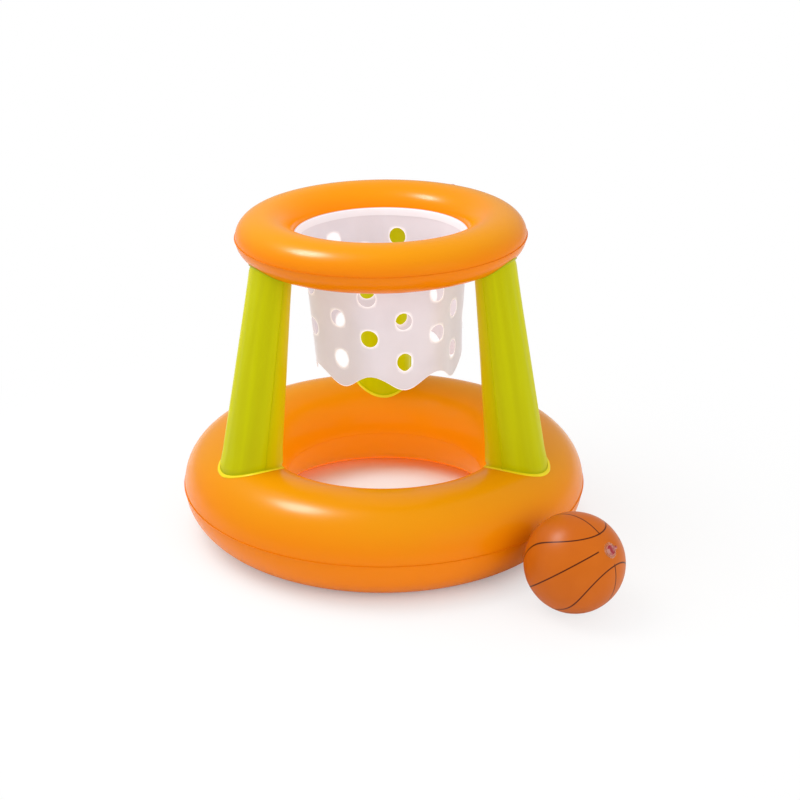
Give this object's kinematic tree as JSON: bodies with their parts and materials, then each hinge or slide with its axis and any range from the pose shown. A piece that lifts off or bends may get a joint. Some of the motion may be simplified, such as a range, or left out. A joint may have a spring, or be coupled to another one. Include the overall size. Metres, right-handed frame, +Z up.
{
  "type": "floating basketball hoop",
  "caption": "Inflatable floating basketball hoop: a fat base ring, sloping legs and an upper ring carrying a punched film net, with push-in air valves and a small ball.",
  "frame": {"origin": "on the base ring's axis, on the surface that the ring stands on", "axes": "+Z up along the base ring's axis, -Y towards the front, +X to the right of someone facing it"},
  "size_m": [0.6947, 0.7316, 0.537],
  "materials": {
    "orange_vinyl": "glossy film",
    "lime_vinyl": "glossy film",
    "frosted_film": "frosted film",
    "clear_vinyl": "clear",
    "tan_vinyl": "satin film"
  },
  "bodies": {
    "hoop": {"base_ring_upper_skin": "orange_vinyl", "base_ring_lower_skin": "orange_vinyl", "hoop_ring_upper_skin": "orange_vinyl", "hoop_ring_lower_skin": "orange_vinyl", "left_leg_outer_panel": "lime_vinyl", "left_leg_inner_panel": "lime_vinyl", "left_leg_foot_patch": "lime_vinyl", "left_leg_head_patch": "lime_vinyl", "right_leg_outer_panel": "lime_vinyl", "right_leg_inner_panel": "lime_vinyl", "right_leg_foot_patch": "lime_vinyl", "right_leg_head_patch": "lime_vinyl", "back_leg_outer_panel": "lime_vinyl", "back_leg_inner_panel": "lime_vinyl", "back_leg_foot_patch": "lime_vinyl", "back_leg_head_patch": "lime_vinyl", "net_film": "frosted_film", "net_top_band": "frosted_film", "net_seam_strip": "frosted_film", "base_ring_valve_flange": "clear_vinyl", "hoop_ring_valve_flange": "clear_vinyl", "left_leg_valve_flange": "clear_vinyl", "right_leg_valve_flange": "clear_vinyl", "back_leg_valve_flange": "clear_vinyl"},
    "ball": {"ball_skin": "tan_vinyl", "ball_valve_flange": "clear_vinyl"},
    "base_ring_stem": {"base_ring_valve_stem": "clear_vinyl"},
    "base_ring_plug": {"base_ring_valve_plug": "clear_vinyl"},
    "hoop_ring_stem": {"hoop_ring_valve_stem": "clear_vinyl"},
    "hoop_ring_plug": {"hoop_ring_valve_plug": "clear_vinyl"},
    "left_leg_stem": {"left_leg_valve_stem": "clear_vinyl"},
    "left_leg_plug": {"left_leg_valve_plug": "clear_vinyl"},
    "right_leg_stem": {"right_leg_valve_stem": "clear_vinyl"},
    "right_leg_plug": {"right_leg_valve_plug": "clear_vinyl"},
    "back_leg_stem": {"back_leg_valve_stem": "clear_vinyl"},
    "back_leg_plug": {"back_leg_valve_plug": "clear_vinyl"},
    "ball_stem": {"ball_valve_stem": "clear_vinyl"},
    "ball_plug": {"ball_valve_plug": "clear_vinyl"}
  },
  "joints": [
    {"name": "ball_lift", "type": "slide", "parent": "hoop", "child": "ball", "axis": [0, 0, 1], "range_m": [0, 0.6]},
    {"name": "base_ring_valve_pull", "type": "slide", "parent": "hoop", "child": "base_ring_stem", "axis": [0.3584, 0.7268, 0.5859], "range_m": [0, 0.012]},
    {"name": "base_ring_plug_pull", "type": "slide", "parent": "base_ring_stem", "child": "base_ring_plug", "axis": [0.3584, 0.7268, 0.5859], "range_m": [0, 0.009]},
    {"name": "hoop_ring_valve_pull", "type": "slide", "parent": "hoop", "child": "hoop_ring_stem", "axis": [0.3888, 0.5644, 0.7282], "range_m": [0, 0.012]},
    {"name": "hoop_ring_plug_pull", "type": "slide", "parent": "hoop_ring_stem", "child": "hoop_ring_plug", "axis": [0.3888, 0.5644, 0.7282], "range_m": [0, 0.009]},
    {"name": "left_leg_valve_pull", "type": "slide", "parent": "hoop", "child": "left_leg_stem", "axis": [0.8629, 0.4982, -0.0848], "range_m": [0, 0.012]},
    {"name": "left_leg_plug_pull", "type": "slide", "parent": "left_leg_stem", "child": "left_leg_plug", "axis": [0.8629, 0.4982, -0.0848], "range_m": [0, 0.009]},
    {"name": "right_leg_valve_pull", "type": "slide", "parent": "hoop", "child": "right_leg_stem", "axis": [-0.8629, 0.4982, -0.0848], "range_m": [0, 0.012]},
    {"name": "right_leg_plug_pull", "type": "slide", "parent": "right_leg_stem", "child": "right_leg_plug", "axis": [-0.8629, 0.4982, -0.0848], "range_m": [0, 0.009]},
    {"name": "back_leg_valve_pull", "type": "slide", "parent": "hoop", "child": "back_leg_stem", "axis": [0, -0.9964, -0.0848], "range_m": [0, 0.012]},
    {"name": "back_leg_plug_pull", "type": "slide", "parent": "back_leg_stem", "child": "back_leg_plug", "axis": [0, -0.9964, -0.0848], "range_m": [0, 0.009]},
    {"name": "ball_valve_pull", "type": "slide", "parent": "ball", "child": "ball_stem", "axis": [0.5952, -0.5688, 0.5677], "range_m": [0, 0.012]},
    {"name": "ball_plug_pull", "type": "slide", "parent": "ball_stem", "child": "ball_plug", "axis": [0.5952, -0.5688, 0.5677], "range_m": [0, 0.009]}
  ]
}
